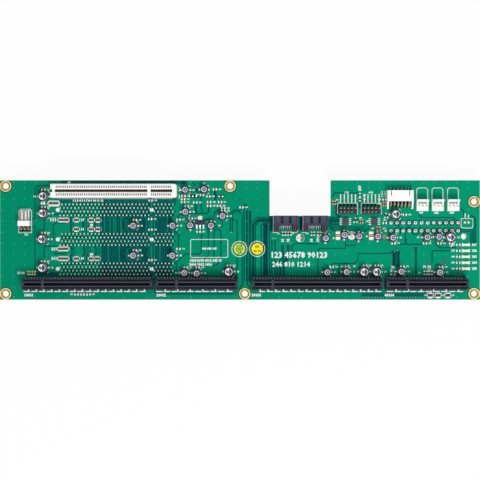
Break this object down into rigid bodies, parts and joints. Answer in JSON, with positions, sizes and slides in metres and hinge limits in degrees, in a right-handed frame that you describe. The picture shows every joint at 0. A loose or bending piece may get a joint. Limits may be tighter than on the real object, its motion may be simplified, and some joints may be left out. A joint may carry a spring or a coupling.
{
  "type": "passive backplane",
  "caption": "Long notched circuit board with card slots on both faces, drive sockets, fan and pin headers, and capacitors, joining a host board to expansion cards.",
  "frame": {"origin": "under the middle of the board, on the surface that its rear connectors stand on", "axes": "+X along the board's length, +Y across it towards the notched edge, +Z out of the front face"},
  "size_m": [0.33, 0.082, 0.0258],
  "materials": {
    "board": "green solder mask over copper, satin",
    "white_plastic": "moulded, near white",
    "natural_plastic": "moulded, natural white",
    "black_plastic": "moulded, near black",
    "socket_plastic": "moulded, dark blue-grey",
    "chip_plastic": "moulded, dark grey",
    "tinned_metal": "tin plate",
    "gold_plate": "thin gold plate",
    "solder": "bright solder",
    "can_aluminium": "bright rolled aluminium",
    "fuse_plastic": "tan with dark bands",
    "light_plastic": "cream, clear lens",
    "part_ceramic": "tan ceramic with metal ends",
    "lime_paper": "matt sticker",
    "yellow_paper": "matt sticker"
  },
  "bodies": {
    "root": {"circuit_board": "board", "front_expansion_slot": "white_plastic", "rear_expansion_slot_upper": "white_plastic", "rear_expansion_slot_middle": "white_plastic", "rear_expansion_slot_lower": "white_plastic", "host_slot_long_left": "black_plastic", "host_slot_short_left": "black_plastic", "host_slot_long_right": "black_plastic", "host_slot_short_right": "black_plastic", "drive_socket_left": "socket_plastic", "drive_socket_right": "socket_plastic", "drive_socket_clips_left": "tinned_metal", "drive_socket_clips_right": "tinned_metal", "drive_socket_tails_left": "gold_plate", "drive_socket_tails_right": "gold_plate", "pin_header_left": "black_plastic", "pin_header_right": "black_plastic", "pin_header_pins_left": "gold_plate", "pin_header_pins_right": "gold_plate", "fan_header_1": "white_plastic", "fan_header_2": "white_plastic", "fan_header_3": "white_plastic", "fan_header_pins_1": "tinned_metal", "fan_header_pins_2": "tinned_metal", "fan_header_pins_3": "tinned_metal", "side_fan_header": "white_plastic", "side_fan_header_pins": "tinned_metal", "signal_wafer": "white_plastic", "signal_wafer_pins": "tinned_metal", "power_header": "natural_plastic", "power_header_pins": "tinned_metal", "power_solder_joints": "solder", "large_capacitor_cans": "can_aluminium", "small_capacitor_cans_left": "can_aluminium", "small_capacitor_cans_right": "can_aluminium", "large_capacitor_bases": "black_plastic", "small_capacitor_bases": "black_plastic", "regulator": "chip_plastic", "regulator_leads": "tinned_metal", "chip_left": "chip_plastic", "chip_right": "chip_plastic", "chip_leads_left": "tinned_metal", "chip_leads_right": "tinned_metal", "transistors": "chip_plastic", "transistor_leads": "tinned_metal", "fuses": "fuse_plastic", "status_lights": "light_plastic", "light_resistors": "part_ceramic", "chip_parts": "part_ceramic", "resistor_arrays": "part_ceramic", "sticker_left": "lime_paper", "sticker_right": "yellow_paper"}
  },
  "joints": []
}
